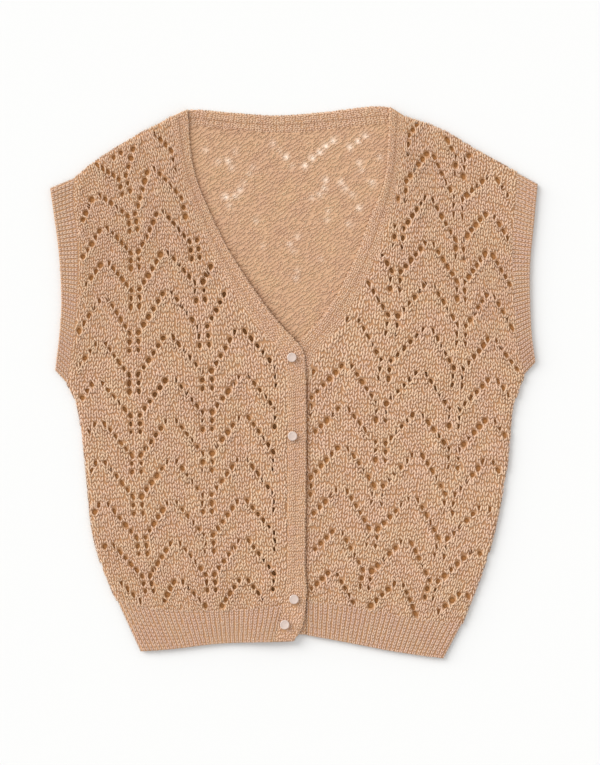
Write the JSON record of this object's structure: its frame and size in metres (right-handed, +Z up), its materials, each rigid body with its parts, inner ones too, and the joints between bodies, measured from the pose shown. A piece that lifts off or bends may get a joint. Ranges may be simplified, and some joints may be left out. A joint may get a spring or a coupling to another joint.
{
  "type": "knitted sweater vest",
  "caption": "Sleeveless V-neck knitted vest with a buttoned front, chevron eyelet lace and ribbed edges, laid flat with its front up.",
  "frame": {"origin": "on the surface, under the middle of the vest's outline", "axes": "+Z up out of the front, +Y towards the neck, +X towards the wearer's left side"},
  "size_m": [0.4882, 0.5519, 0.0104],
  "materials": {
    "lace_knit": "soft matt wool, beige",
    "rib_knit": "soft matt wool, beige, ribbed",
    "band_knit": "soft matt wool, beige, dense",
    "pearl": "pearly, pinkish white"
  },
  "bodies": {
    "root": {"back_panel": "lace_knit", "front_right_panel": "lace_knit", "front_left_panel": "lace_knit", "hem_rib_back": "rib_knit", "hem_rib_front_right": "rib_knit", "hem_rib_front_left": "rib_knit", "armhole_rib_right": "rib_knit", "armhole_rib_left": "rib_knit", "neckband_back": "band_knit", "front_band_left": "band_knit", "front_band_right": "band_knit", "button_1": "pearl", "button_2": "pearl", "button_3": "pearl", "button_4": "pearl"}
  },
  "joints": []
}
